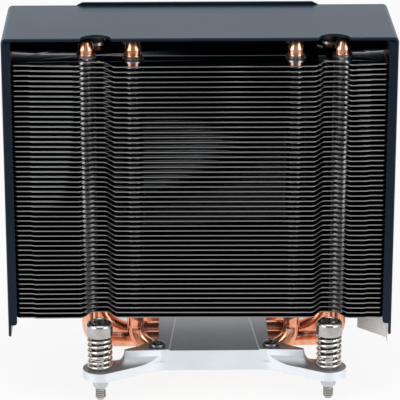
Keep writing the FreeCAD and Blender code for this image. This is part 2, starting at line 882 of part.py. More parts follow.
def make_spring_screw(name, side_x, side_y):
    """Captive screw: a round cap, a plain stem, a neck for the sleeve, and an M4 end."""
    body = new_body("spring_screw_" + name)
    cap = size("cap_radius")
    cap_low = size("cap_bottom")
    cap_high = size("cap_top")
    bevel = size("cap_chamfer")
    stem = size("stem_radius")
    neck = size("neck_radius")
    neck_low = size("neck_bottom")
    neck_high = size("bracket_bottom")
    stud = size("stud_radius")
    stud_low = size("stud_bottom")
    chamfer = size("stud_chamfer")
    profile = new_sketch(body, "profile", "XZ_Plane")
    draw_polygon(profile, [
        (0, stud_low),
        (stud - chamfer, stud_low),
        (stud, stud_low + chamfer),
        (stud, neck_low),
        (neck, neck_low),
        (neck, neck_high),
        (stem, neck_high),
        (stem, cap_low),
        (cap, cap_low),
        (cap, cap_high - bevel),
        (cap - bevel, cap_high),
        (0, cap_high),
    ])
    revolve(body, profile, "turned")
    recess = new_sketch(body, "recess_outline", "XY_Plane", cap_high)
    draw_star(recess, 0, 0, size("recess_outer_radius"), size("recess_inner_radius"))
    pocket(body, recess, "driver_recess", size("recess_depth"))
    place(body, side_x * size("screw_half_x"), side_y * size("screw_half_y"))
    return body


def make_retainer(name, side_x, side_y):
    """Sleeve that snaps round the screw's neck under the pad, and keeps the screw captive."""
    body = new_body("retainer_" + name)
    play = size("sleeve_play")
    bore = size("neck_radius") + play
    low = size("neck_bottom") + play
    high = size("bracket_bottom") - size("sleeve_top_gap")
    outer = size("sleeve_radius")
    profile = new_sketch(body, "profile", "XZ_Plane")
    draw_polygon(profile, [
        (bore, low),
        (size("sleeve_foot_radius"), low),
        (outer, low + size("sleeve_foot_height")),
        (outer, high),
        (bore, high),
    ])
    revolve(body, profile, "turned")
    place(body, side_x * size("screw_half_x"), side_y * size("screw_half_y"))
    return body


def coil_rise(turn, turns, end_pitch, climb):
    """Height of the wire after a number of turns: one all but closed turn at each end, open between."""
    if turn <= 1:
        return turn * end_pitch
    if turn >= turns - 1:
        return climb - (turns - turn) * end_pitch
    share = (turn - 1) / (turns - 2)
    return end_pitch + share * (climb - 2 * end_pitch)


def make_spring(name, side_x, side_y):
    """Compression spring with closed ends, as a square wire in straight steps round the coil."""
    wire = size("spring_wire").number
    outer = size("spring_outer_radius").number
    inner = outer - wire
    turns = size("spring_turns").number
    low = (size("bracket_bottom") + size("bracket_arm_height")).number
    climb = size("cap_bottom").number - low - wire
    end_pitch = size("spring_end_pitch").number
    steps = round(turns * SPRING_STEPS_PER_TURN)

    sections = []
    for step in range(steps + 1):
        turn = step / SPRING_STEPS_PER_TURN
        heading = 2 * math.pi * turn
        height = low + coil_rise(turn, turns, end_pitch, climb)
        radial = FreeCAD.Vector(math.cos(heading), math.sin(heading), 0)
        up = FreeCAD.Vector(0, 0, 1)
        sections.append([
            radial * inner + up * height,
            radial * outer + up * height,
            radial * outer + up * (height + wire),
            radial * inner + up * (height + wire),
        ])

    def face(*points):
        return Part.Face(Part.makePolygon(list(points) + [points[0]]))

    faces = [face(*reversed(sections[0])), face(*sections[-1])]
    for here, there in zip(sections, sections[1:]):
        for index in range(4):
            following = (index + 1) % 4
            a, b = here[index], here[following]
            c, d = there[following], there[index]
            if index % 2 == 1:
                faces.append(face(a, b, c, d))
            else:
                faces.append(face(a, b, c))
                faces.append(face(a, c, d))
    coil = Part.Solid(Part.Shell(faces))
    if coil.Volume < 0:
        coil.reverse()
    spring = doc.addObject("Part::Feature", "spring_" + name)
    spring.Label = "spring_" + name
    spring.Shape = coil
    place(spring, side_x * size("screw_half_x"), side_y * size("screw_half_y"))
    return spring


# ---- Tag --------------------------------------------------------------------------------------------


def make_tag():
    """Bare paper tag: a short leg glued inside the right wall, and a flap turned away from it."""
    body = new_body("wall_tag")
    wall = size("shroud_left") + size("shroud_width") - size("shroud_sheet")
    paper = size("tag_sheet")
    fold = size("tag_fold")
    reach = size("tag_reach")
    outline = new_sketch(body, "tag_outline", "XY_Plane", size("tag_bottom"))
    draw_polygon(outline, [
        (wall, size("tag_leg_front")),
        (wall, fold),
        (wall - reach, fold + reach),
        (wall - reach - paper, fold + reach - paper * 0.4),
        (wall - paper, fold - paper * 0.4),
        (wall - paper, size("tag_leg_front")),
    ])
    pad(body, outline, "tag", size("tag_top") - size("tag_bottom"))
    return body


# ---- Build and export -------------------------------------------------------------------------------

parts = [make_shroud(), make_fin_stack()]
parts += make_heat_pipes()
parts += [make_bracket(), make_base_plate(), make_base_screws()]
for corner_name, (x_sign, y_sign) in CORNERS.items():
    parts.append(make_spring_screw(corner_name, x_sign, y_sign))
    parts.append(make_retainer(corner_name, x_sign, y_sign))
    parts.append(make_spring(corner_name, x_sign, y_sign))
parts.append(make_tag())
doc.recompute()

for item in doc.Objects:
    if "Invalid" in item.State or "Error" in item.State:
        raise RuntimeError(f"{item.Label} failed: {item.State}")
for part in parts:
    if part.Shape.isNull() or not part.Shape.isValid():
        raise RuntimeError(f"{part.Label} has no valid shape")

os.makedirs("parts", exist_ok=True)
for part in parts:
    part.Shape.exportStep(f"parts/{part.Label}.step")
    print(part.Label, "solids", len(part.Shape.Solids), "volume", round(part.Shape.Volume, 1))
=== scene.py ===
"""Passive server heatsink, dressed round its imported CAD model.

Metres, +Z up, +Y towards the rear, and the origin at the middle of the copper contact face.
"""
import json
import math

import bmesh
import bpy
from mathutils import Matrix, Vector


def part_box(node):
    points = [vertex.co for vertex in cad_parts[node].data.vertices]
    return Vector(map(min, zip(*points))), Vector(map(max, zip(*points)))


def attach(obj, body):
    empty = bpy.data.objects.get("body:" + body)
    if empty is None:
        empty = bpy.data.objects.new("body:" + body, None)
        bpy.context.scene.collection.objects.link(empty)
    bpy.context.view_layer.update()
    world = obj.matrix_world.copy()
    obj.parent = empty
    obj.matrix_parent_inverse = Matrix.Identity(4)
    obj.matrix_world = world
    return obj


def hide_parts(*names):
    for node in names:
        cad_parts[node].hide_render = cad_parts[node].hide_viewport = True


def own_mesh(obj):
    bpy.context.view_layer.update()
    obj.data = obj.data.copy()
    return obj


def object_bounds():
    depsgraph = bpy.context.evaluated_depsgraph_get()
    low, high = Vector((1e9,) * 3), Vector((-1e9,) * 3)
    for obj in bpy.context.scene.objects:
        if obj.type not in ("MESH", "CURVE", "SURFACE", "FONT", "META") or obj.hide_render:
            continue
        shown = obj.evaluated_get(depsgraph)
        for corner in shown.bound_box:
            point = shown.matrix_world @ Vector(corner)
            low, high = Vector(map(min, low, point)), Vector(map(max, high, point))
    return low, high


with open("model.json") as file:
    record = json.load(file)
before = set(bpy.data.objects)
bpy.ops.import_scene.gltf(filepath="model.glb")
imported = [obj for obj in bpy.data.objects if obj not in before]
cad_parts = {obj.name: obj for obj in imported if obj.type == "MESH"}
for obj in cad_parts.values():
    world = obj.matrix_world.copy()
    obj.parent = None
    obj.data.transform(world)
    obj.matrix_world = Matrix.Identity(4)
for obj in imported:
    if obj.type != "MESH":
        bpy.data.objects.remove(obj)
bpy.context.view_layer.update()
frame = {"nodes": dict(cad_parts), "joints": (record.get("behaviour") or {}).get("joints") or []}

MM = 0.001


# ---- Heat pipes -------------------------------------------------------------------------------------
# Four sealed copper tubes of 6 mm, each bent to a U and lying side by side in the base plate. Their
# legs rise through the fins and end in tips that were swaged shut. They are soldered into the base.

PIPE_SIDES = 32
PIPE_RADIUS = 3 * MM
PINCH_RADIUS = 0.5 * MM
TIP_LENGTH = 4 * MM
SPIN_STEP_DEGREES = 7


class Value:
    """A socket's value. A sum, difference or product written with it adds a Math node."""

    def __init__(self, nodes, socket):
        self.nodes = nodes
        self.socket = socket

    def worked(self, operation, first, second):
        return self.nodes.node("ShaderNodeMath", {"operation": operation}, {0: first, 1: second})

    def __add__(self, other):
        return self.worked("ADD", self, other)

    def __sub__(self, other):
        return self.worked("SUBTRACT", self, other)

    def __rsub__(self, other):
        return self.worked("SUBTRACT", other, self)

    def __mul__(self, other):
        return self.worked("MULTIPLY", self, other)

    __radd__ = __add__
    __rmul__ = __mul__


class Nodes:
    """A tree of shader nodes, which are added by type, settings, and sockets' values or links."""

    def __init__(self, tree):
        self.tree = tree

    def fill(self, node, sockets):
        for key, given in sockets.items():
            if isinstance(given, Value):
                self.tree.links.new(given.socket, node.inputs[key])
            else:
                node.inputs[key].default_value = given

    def node(self, kind, settings, sockets, output=0):
        node = self.tree.nodes.new(kind)
        for key, given in settings.items():
            if key == "stops":
                ramp = node.color_ramp.elements
                ramp[0].position, ramp[0].color = given[0]
                ramp[1].position, ramp[1].color = given[-1]
                for position, colour in given[1:-1]:
                    ramp.new(position).color = colour
            else:
                setattr(node, key, given)
        self.fill(node, sockets)
        return Value(self, node.outputs[output])


class Finish(Nodes):
    """A material and its principled shader, whose constants are set as the finish is named."""

    def __init__(self, name, constants):
        self.material = bpy.data.materials.new(name)
        self.material.use_nodes = True
        super().__init__(self.material.node_tree)
        self.shader = self.tree.nodes["Principled BSDF"]
        self.fill(self.shader, constants)

    def along(self, stretch):
        """The piece's own coordinates, squeezed by a factor for each axis."""
        here = self.node("ShaderNodeTexCoord", {}, {}, "Object")
        return self.node("ShaderNodeMapping", {"vector_type": "POINT"}, {"Vector": here, "Scale": stretch})

    def noise(self, stretch, scale, detail=4.0, roughness=0.55):
        sockets = {"Vector": self.along(stretch), "Scale": scale, "Detail": detail, "Roughness": roughness}
        return self.node("ShaderNodeTexNoise", {}, sockets, "Fac")

    def blend(self, share, stops):
        return self.node("ShaderNodeValToRGB", {"stops": stops}, {"Fac": share})

    def relief(self, height, distance, strength):
        sockets = {"Height": height, "Distance": distance, "Strength": strength}
        self.fill(self.shader, {"Normal": self.node("ShaderNodeBump", {}, sockets)})


def pick(piece):
    """Select one piece and nothing else."""
    bpy.ops.object.select_all(action="DESELECT")
    piece.select_set(True)
    bpy.context.view_layer.objects.active = piece


def work_on(piece):
    """Open one piece for editing, with nothing of it selected."""
    pick(piece)
    bpy.ops.object.mode_set(mode="EDIT")
    bpy.ops.mesh.select_all(action="DESELECT")


def extrude(x=0.0, y=0.0, z=0.0):
    """Pull the selected end along, with new sides behind it."""
    bpy.ops.mesh.extrude_region_move(TRANSFORM_OT_translate={"value": (x, y, z)})


def draw_out(profile):
    """Pull the selected round end along Z through the profile's (radius, height) pairs."""
    for (radius, height), (next_radius, next_height) in zip(profile, profile[1:]):
        extrude(z=next_height - height)
        share = next_radius / radius
        bpy.ops.transform.resize(value=(share, share, 1))


def modify(piece, kind, **settings):
    """Add a modifier to the piece and apply it."""
    pick(piece)
    modifier = piece.modifiers.new(kind, kind)
    for key, given in settings.items():
        setattr(modifier, key, given)
    bpy.ops.object.modifier_apply(modifier=modifier.name)


def clean(piece, smooth_degrees=30):
    """Close the piece's seams, turn its faces outwards and put its place into its mesh."""
    work_on(piece)
    bpy.ops.mesh.select_all(action="SELECT")
    bpy.ops.mesh.remove_doubles(threshold=0.001 * MM)
    bpy.ops.mesh.normals_make_consistent(inside=False)
    bpy.ops.object.mode_set(mode="OBJECT")
    bpy.ops.object.transform_apply(location=True, rotation=True, scale=True)
    bpy.ops.object.shade_smooth_by_angle(angle=math.radians(smooth_degrees))
    modify(piece, "WEIGHTED_NORMAL", mode="FACE_AREA", keep_sharp=True)


def fit(piece, name, finish, slot, body, *stands_for):
    """Name the piece, give it its finish, and fasten it to the body that it moves with."""
    piece.name = name
    piece.data.name = name
    piece.data.materials.clear()
    piece.data.materials.append(finish.material)
    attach(piece, body)
    if stands_for:
        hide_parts(*stands_for)


copper = Finish("drawn copper", {"Metallic": 1.0})
clouds = copper.noise((1, 1, 0.35), 160)
streaks = copper.noise((1, 1, 0.04), 1400, 3.0)
tone = clouds * 0.7 + streaks * 0.3
copper.fill(copper.shader, {
    "Base Color": copper.blend(tone, [
        (0.30, (0.52, 0.14, 0.05, 1)),
        (0.48, (0.86, 0.36, 0.20, 1)),
        (0.70, (0.97, 0.60, 0.43, 1)),
    ]),
    "Roughness": clouds * 0.18 + 0.10,
})
copper.relief(streaks, 0.04 * MM, 0.35)


def bend_pipe(name, knees, radii):
    """Draw a tube from its left tip down round its knees to the middle of the U, then mirror it."""
    low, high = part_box(name)
    left_tip = Vector((low.x + PIPE_RADIUS, knees[0].y, high.z))
    tip = [(1.1, 0), (1.75, -0.35), (2.15, -1.2), (2.6, -2.4), (2.9, -3.4), (3, -4)]
    bpy.ops.mesh.primitive_circle_add(
        vertices=PIPE_SIDES, radius=PINCH_RADIUS, fill_type="NGON", location=left_tip)
    pipe = bpy.context.object
    work_on(pipe)
    bpy.ops.mesh.select_all(action="SELECT")
    draw_out([(PINCH_RADIUS, 0)] + [(radius * MM, height * MM) for radius, height in tip])

    start = left_tip - Vector((0, 0, TIP_LENGTH))
    points = [start] + knees + [Vector((0, knees[-1].y, knees[-1].z))]
    for before, knee, after, radius in zip(points, knees, points[2:], radii):
        inwards = (knee - before).normalized()
        outwards = (after - knee).normalized()
        turn = inwards.angle(outwards)
        tangent = radius * math.tan(turn / 2)
        arc_start = knee - inwards * tangent
        extrude(*(arc_start - start))
        towards_centre = (outwards - inwards * inwards.dot(outwards)).normalized()
        bpy.ops.mesh.spin(
            steps=max(3, round(math.degrees(turn) / SPIN_STEP_DEGREES)), angle=turn,
            center=arc_start + towards_centre * radius, axis=outwards.cross(inwards))
        start = knee + outwards * tangent
    extrude(*(points[-1] - start))
    bpy.ops.mesh.delete(type="ONLY_FACE")
    bpy.ops.object.mode_set(mode="OBJECT")
    bpy.ops.object.transform_apply(location=True, rotation=True, scale=True)
    modify(pipe, "MIRROR", use_axis=(True, False, False), use_clip=True, merge_threshold=0.01 * MM)
    clean(pipe, 40)
    fit(pipe, name.replace("heat_pipe", "copper_pipe"), copper, "copper", "root", name)


# Each knee has an x, a row and a z, in millimetres, and None where the pipe's own box gives it.
for pipe_name, knee_places, knee_radii in (
    ("heat_pipe_front_inner", ((None, "leg", 22.4), (None, "run", 16.0), (None, "run", None)), (6, 6, 9)),
    ("heat_pipe_front_outer", ((None, "leg", 12.0), (-33, "run", None)), (10, 12)),
    ("heat_pipe_rear_outer", ((None, "leg", None),), (12,)),
    ("heat_pipe_rear_inner", ((None, "leg", 19.0), (-25, "run", None)), (9, 6.5)),
):
    pipe_low, pipe_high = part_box(pipe_name)
    rows = {"leg": pipe_low.y + PIPE_RADIUS, "run": pipe_high.y - PIPE_RADIUS}
    pipe_knees = []
    for knee_x, row, knee_z in knee_places:
        pipe_knees.append(Vector((
            pipe_low.x + PIPE_RADIUS if knee_x is None else knee_x * MM,
            rows[row],
            pipe_low.z + PIPE_RADIUS if knee_z is None else knee_z * MM,
        )))
    bend_pipe(pipe_name, pipe_knees, [radius * MM for radius in knee_radii])


# ---- Base plate -------------------------------------------------------------------------------------
# A copper plate with a half-round groove for each pipe. Its underside is milled flat, because it
# lies on the processor's lid. Four screws through its ears hold it in the bracket.

milled_copper = Finish("milled copper", {"Metallic": 1.0})
rings = milled_copper.node(
    "ShaderNodeTexWave", {"wave_type": "RINGS", "rings_direction": "Z"},
    {"Vector": milled_copper.along((1, 1, 0)), "Scale": 900.0, "Distortion": 1.5, "Detail": 2.0}, "Fac")
stain = milled_copper.noise((1, 1, 1), 90)
milled_copper.fill(milled_copper.shader, {
    "Base Color": milled_copper.blend(stain, [
        (0.35, (0.66, 0.27, 0.13, 1)),
        (0.65, (0.90, 0.50, 0.32, 1)),
    ]),
    "Roughness": rings * 0.10 + 0.22,
})
milled_copper.relief(rings, 0.02 * MM, 0.3)


def copy_of(node):
    """A copy of a CAD node, with its loose triangles merged to whole faces."""
    piece = bpy.data.objects.new("copy", frame["nodes"][node].data.copy())
    bpy.context.scene.collection.objects.link(piece)
    work_on(piece)
    bpy.ops.mesh.customdata_custom_splitnormals_clear()
    bpy.ops.mesh.select_all(action="SELECT")
    bpy.ops.mesh.remove_doubles(threshold=0.002 * MM)
    bpy.ops.mesh.dissolve_limited(angle_limit=math.radians(0.5))
    bpy.ops.object.mode_set(mode="OBJECT")
    return piece


def break_edges(piece, width, segments=2, degrees=32):
    """The small round that every worked edge has."""
    modify(
        piece, "BEVEL", width=width, segments=segments, limit_method="ANGLE",
        angle_limit=math.radians(degrees), use_clamp_overlap=True, miter_outer="MITER_ARC")


EAR_SET_BACK = 3.0 * MM

plate = copy_of("base_plate")
ear_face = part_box("base_plate")[1].y
for vertex in plate.data.vertices:
    if abs(vertex.co.y) > ear_face - 0.1 * MM:
        vertex.co.y -= math.copysign(EAR_SET_BACK, vertex.co.y)
break_edges(plate, 0.15 * MM)
clean(plate)
fit(plate, "contact_plate", milled_copper, "copper", "root", "base_plate")


# ---- Fins -------------------------------------------------------------------------------------------
# 52 stamped aluminium fins, pressed over the pipes. Each hole has a drawn collar that spaces the
# next fin, and each end is folded up against the shroud's wall. Two notches let a driver pass.

FIN_COUNT = 52
FIN_GAUGE = 0.34 * MM
SOLID_FIN_GAUGE = 0.45 * MM
NOTCH_DEPTH = 5.7 * MM
NOTCH_MOUTH = 6.8 * MM
NOTCH_FLOOR = 2.3 * MM
CORNER_CUT = 3.3 * MM
END_SET_BACK = 0.6 * MM
END_WIDTH = 8 * MM
END_SLANT = 1.2 * MM
TAB_GAUGE = 0.35 * MM
COLLAR_SIDES = 16
BOW_START = 14 * MM
BOW_END = 66 * MM

fin_low, fin_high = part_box("fin_stack")
fin_pitch = (fin_high.z - fin_low.z - SOLID_FIN_GAUGE) / (FIN_COUNT - 1)
screw_places = {}
for corner in ("fl", "fr", "rl", "rr"):
    screw_low, screw_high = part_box("spring_screw_" + corner)
    screw_places[corner] = (screw_low + screw_high) / 2


def levelness(finish):
    """From 0 on an upright face to 1 on a level one."""
    facing = finish.node("ShaderNodeNewGeometry", {}, {}, "Normal")
    upwards = finish.node("ShaderNodeSeparateXYZ", {}, {0: facing}, "Z")
    return finish.node("ShaderNodeMath", {"operation": "ABSOLUTE"}, {0: upwards})


rolled_fin = Finish("rolled aluminium", {"Metallic": 1.0})
grain = rolled_fin.noise((0.15, 1, 1), 900, 3.0)
patches = rolled_fin.noise((0.4, 1, 1), 45)
level_shade_and_gloss = levelness(rolled_fin)
# Painted shade: the fins' level faces are coloured darker, for the shade in the gaps between fins, and their
# upright edges lighter. The patches are a random tone of the metal, and the level faces' lower roughness is
# real.
rolled_fin.fill(rolled_fin.shader, {
    "Base Color": rolled_fin.blend(patches * 0.15 - level_shade_and_gloss * 0.40 + 0.52, [
        (0.20, (0.14, 0.14, 0.15, 1)),
        (0.45, (0.26, 0.26, 0.26, 1)),
        (0.70, (0.40, 0.40, 0.39, 1)),
    ]),
    "Roughness": grain * 0.04 - level_shade_and_gloss * 0.46 + 0.49,
})
rolled_fin.relief(grain, 0.01 * MM, 0.05)


def eased(value, start, end):
    """From 0 at the start to 1 at the end, level at both."""
    share = min(max((value - start) / (end - start), 0), 1)
    return share * share * (3 - 2 * share)


def notch_side(centre, start, end, steps=9):
    """The S-shaped side of a notch, from one half width and depth to another."""
    points = []
    for step in range(steps + 1):
        across = start[0] + (end[0] - start[0]) * step / steps
        depth = start[1] + (end[1] - start[1]) * eased(step, 0, steps)
        points.append((centre + across, fin_low.y + depth))
    return points


def straight(start, end, y, steps):
    """Points along the front edge, up to but not at its end, so that the fin can bow."""
    return [(start + (end - start) * step / steps, y) for step in range(steps)]


def fin_edge():
    """The fin's outline, anticlockwise from its rear left corner."""
    front_end = fin_low.y + END_SET_BACK
    left_end = fin_low.x + END_WIDTH
    right_end = fin_high.x - END_WIDTH
    points = [(fin_low.x, fin_high.y), (fin_low.x, front_end + CORNER_CUT)]
    points += [(fin_low.x + CORNER_CUT, front_end), (left_end, front_end)]
    start = left_end + END_SLANT
    for corner in ("fl", "fr"):
        centre = screw_places[corner].x
        points += straight(start, centre - NOTCH_MOUTH, fin_low.y, 12)
        points += notch_side(centre, (-NOTCH_MOUTH, 0), (-NOTCH_FLOOR, NOTCH_DEPTH))
        points += notch_side(centre, (NOTCH_FLOOR, NOTCH_DEPTH), (NOTCH_MOUTH, 0))[:-1]
        start = centre + NOTCH_MOUTH
    points += straight(start, right_end - END_SLANT, fin_low.y, 4)
    points += [(right_end - END_SLANT, fin_low.y), (right_end, front_end)]
    points += [(fin_high.x - CORNER_CUT, front_end), (fin_high.x, front_end + CORNER_CUT)]
    points += [(fin_high.x, fin_high.y)]
    return points


def circle_points(x, y, radius, sides):
    """Points round a hole."""
    turns = [2 * math.pi * side / sides for side in range(sides)]
    return [(x + radius * math.cos(turn), y + radius * math.sin(turn)) for turn in turns]


leg_places = []
for pipe_name in ("front_inner", "front_outer", "rear_inner", "rear_outer"):
    pipe_low, pipe_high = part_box("heat_pipe_" + pipe_name)
    for leg_x in (pipe_low.x + PIPE_RADIUS, pipe_high.x - PIPE_RADIUS):
        leg_places.append((leg_x, pipe_low.y + PIPE_RADIUS))

fin_drawing = bpy.data.curves.new("fin", "CURVE")
fin_drawing.dimensions = "2D"
fin_drawing.fill_mode = "BOTH"
fin_drawing.extrude = FIN_GAUGE / 2
holes = [circle_points(x, y, PIPE_RADIUS + 0.05 * MM, COLLAR_SIDES) for x, y in leg_places]
for loop in [fin_edge()] + holes:
    spline = fin_drawing.splines.new("POLY")
    spline.points.add(len(loop) - 1)
    for point, (x, y) in zip(spline.points, loop):
        point.co = (x, y, 0, 1)
    spline.use_cyclic_u = True
fin = bpy.data.objects.new("fin", fin_drawing)
bpy.context.scene.collection.objects.link(fin)
fin.location.z = fin_low.z + FIN_GAUGE / 2
pick(fin)
bpy.ops.object.convert(target="MESH")

collar_top = fin_pitch - 0.02 * MM
tab_front = fin_low.y + END_SET_BACK + CORNER_CUT
fin_pieces = [fin]
for tab_x in (fin_low.x + TAB_GAUGE / 2, fin_high.x - TAB_GAUGE / 2):
    tab_middle = fin_low.z + FIN_GAUGE + collar_top / 2 - 0.2 * MM
    bpy.ops.mesh.primitive_cube_add(size=1, location=(tab_x, (tab_front + fin_high.y) / 2, tab_middle))
    tab = bpy.context.object
    tab.scale = (TAB_GAUGE, fin_high.y - tab_front, collar_top - FIN_GAUGE)
    fin_pieces.append(tab)


def join(pieces):
    """Make one piece of several, under the first one's name."""
    pick(pieces[0])
    for piece in pieces:
        piece.select_set(True)
    bpy.ops.object.join()
    return pieces[0]


def stack(piece):
    """Repeat a piece at each fin's height."""
    modify(
        piece, "ARRAY", count=FIN_COUNT, use_relative_offset=False, use_constant_offset=True,
        constant_offset_displace=(0, 0, fin_pitch))


def bow(piece):
    """Open the stack a little at its folded ends, where it is springier than at the collars."""
    for vertex in piece.data.vertices:
        share = (vertex.co.z - fin_low.z) / (fin_high.z - fin_low.z)
        spread = eased(abs(vertex.co.x), BOW_START, BOW_END)
        top_rise = 0.92 * spread - 0.72
        foot_rise = 0.10 - 0.55 * spread - 6 * vertex.co.x
        vertex.co.z += (share * top_rise + (1 - share) * foot_rise) * MM


join(fin_pieces)
clean(fin, 35)
stack(fin)
bow(fin)
fit(fin, "fins", rolled_fin, "fin_aluminium", "root", "fin_stack")

drawn_collar = Finish("drawn aluminium", {"Metallic": 1.0})
rubs = drawn_collar.noise((1, 1, 0.3), 700, 3.0)
drawn_collar.fill(drawn_collar.shader, {
    "Base Color": drawn_collar.blend(rubs, [
        (0.35, (0.66, 0.65, 0.63, 1)),
        (0.65, (0.88, 0.87, 0.85, 1)),
    ]),
    "Roughness": rubs * 0.12 + 0.22,
})
drawn_collar.relief(rubs, 0.01 * MM, 0.2)

collar_profile = [
    (3.02 * MM, 0.1 * MM),
    (3.80 * MM, FIN_GAUGE),
    (3.30 * MM, 0.80 * MM),
    (3.48 * MM, collar_top),
    (3.02 * MM, collar_top),
    (3.02 * MM, 0.1 * MM),
]
collars = []
for x, y in leg_places:
    bpy.ops.mesh.primitive_circle_add(
        vertices=COLLAR_SIDES, radius=collar_profile[0][0], fill_type="NOTHING",
        location=(x, y, fin_low.z + collar_profile[0][1]))
    collar = bpy.context.object
    work_on(collar)
    bpy.ops.mesh.select_all(action="SELECT")
    draw_out(collar_profile)
    bpy.ops.object.mode_set(mode="OBJECT")
    collars.append(collar)
row_of_collars = join(collars)
clean(row_of_collars, 50)
stack(row_of_collars)
bow(row_of_collars)
fit(row_of_collars, "fin_collars", drawn_collar, "fin_aluminium", "root", "fin_stack")


# ---- Shroud -----------------------------------------------------------------------------------------
# One sheet of steel, folded to a top and two walls, with narrow flanges turned in and a low lip at
# the rear. It is painted a satin navy black and sits on the fins' folded ends.

navy_paint = Finish("navy-black paint", {
    "Specular IOR Level": 0.28,
    "Specular Tint": (0.40, 0.70, 1.0, 1),
    "Sheen Weight": 0.13,
    "Sheen Roughness": 0.3,
    "Sheen Tint": (0.05, 0.50, 1.0, 1),
})
peel = navy_paint.noise((1, 1, 1), 1500, 2.0)
haze = navy_paint.noise((1, 1, 1), 22, 3.0)
navy_paint.fill(navy_paint.shader, {
    "Base Color": navy_paint.blend(haze, [
        (0.3, (0.0055, 0.0070, 0.0110, 1)),
        (0.7, (0.0080, 0.0100, 0.0150, 1)),
    ]),
    "Roughness": haze * 0.08 + 0.26,
})
navy_paint.relief(peel, 0.01 * MM, 0.12)

shroud = copy_of("shroud")
break_edges(shroud, 0.14 * MM)
clean(shroud, 35)
fit(shroud, "folded_shroud", navy_paint, "black_paint", "root", "shroud")


# ---- Bracket ----------------------------------------------------------------------------------------
# A machined aluminium block over the base plate, with four low arms that end in round pads for the
# spring screws. It was blasted with fine beads, which leaves a pale, even grain.

blasted = Finish("blasted aluminium", {"Metallic": 1.0})
beads = blasted.noise((1, 1, 1), 5200, 2.0)
handling = blasted.noise((1, 1, 1), 60)
# Painted shade and light: level faces are coloured darker, for the shade under the fins, and upright faces
# lighter. The handling noise is a random tone.
blasted.fill(blasted.shader, {
    "Base Color": blasted.blend(handling * 0.3 - levelness(blasted) * 0.6 + 0.7, [
        (0.20, (0.34, 0.34, 0.35, 1)),
        (0.55, (0.62, 0.64, 0.66, 1)),
        (0.90, (0.80, 0.84, 0.87, 1)),
    ]),
    "Roughness": handling * 0.12 + 0.46,
})
blasted.relief(beads, 0.015 * MM, 0.35)

ARM_HEIGHT = 4.9 * MM
ARM_ROOT = 19.5 * MM
PAD_START = 39.3 * MM
FACE_SET_BACK = 1.6 * MM
FACE_ZONE = (23.5 * MM, 26.2 * MM)
CORNER_REACH = 2.4 * MM
CORNER_STEP = 1.0 * MM
CORNER_RISES = (26.5 * MM, 31.5 * MM)
CORNER_FALLS = (37 * MM, 40 * MM)
REAR_OF_CORNERS = 15 * MM
RELIEF_HALF_WIDTH = 14.25 * MM
RELIEF_SLANT = 4.5 / 56
RELIEF_CHAMFER = 0.45 * MM

bracket = copy_of("bracket")
arm_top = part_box("base_plate")[0].z + ARM_HEIGHT
block_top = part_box("bracket")[1].z
for vertex in bracket.data.vertices:
    across = abs(vertex.co.x)
    along = abs(vertex.co.y)
    height = vertex.co.z
    relief_side = RELIEF_HALF_WIDTH - vertex.co.y * RELIEF_SLANT
    if block_top - height < 0.02 * MM and abs(across - relief_side) < 0.1 * MM:
        vertex.co.x += math.copysign(RELIEF_CHAMFER, vertex.co.x)
    if height > arm_top - 0.05 * MM and along > REAR_OF_CORNERS:
        rise = (height - arm_top) / (block_top - arm_top)
        corner = eased(across, *CORNER_RISES) * (1 - eased(across, *CORNER_FALLS))
        vertex.co.x += math.copysign(CORNER_REACH * corner, vertex.co.x)
        vertex.co.y += math.copysign(CORNER_STEP * (1 - rise) * corner, vertex.co.y)
    back = min(max((PAD_START - across) / (PAD_START - ARM_ROOT), 0), 1) * eased(along, *FACE_ZONE)
    vertex.co.y -= math.copysign(FACE_SET_BACK * back, vertex.co.y)
break_edges(bracket, 0.25 * MM, 3)
clean(bracket, 35)
fit(bracket, "cross_bracket", blasted, "bracket_aluminium", "root", "bracket")


# ---- Screws of the base plate -----------------------------------------------------------------------
# Four darkened pan-head steel screws, which pull the copper plate's ears up into the bracket.

dark_steel = Finish("darkened steel", {"Metallic": 1.0})
wear = dark_steel.noise((1, 1, 1), 700)
dark_steel.fill(dark_steel.shader, {
    "Base Color": dark_steel.blend(wear, [
        (0.35, (0.10, 0.10, 0.11, 1)),
        (0.70, (0.26, 0.26, 0.27, 1)),
    ]),
    "Roughness": wear * 0.20 + 0.16,
})
dark_steel.relief(wear, 0.02 * MM, 0.2)

PAN_RADIUS = 3.1 * MM
PAN_HEIGHT = 1.7 * MM
SHANK_RADIUS = 1.5 * MM
CROSS_SIZE = (3.4 * MM, 0.75 * MM, 2.2 * MM)
CROSS_TURNS = (20, 110)


def turn_on_lathe(centre_x, centre_y, profile, sides=48, hollow=False):
    """A round piece from its profile's (radius, height) pairs, in metres, bottom first."""
    bpy.ops.mesh.primitive_circle_add(
        vertices=sides, radius=profile[0][0], fill_type="NOTHING" if hollow else "NGON",
        location=(centre_x, centre_y, profile[0][1]))
    piece = bpy.context.object
    work_on(piece)
    bpy.ops.mesh.select_all(action="SELECT")
    draw_out(profile)
    bpy.ops.object.mode_set(mode="OBJECT")
    return piece


def cut(piece, cutter):
    """Take the cutter's form out of the piece."""
    modify(piece, "BOOLEAN", operation="DIFFERENCE", object=cutter, solver="EXACT")
    bpy.data.objects.remove(cutter)


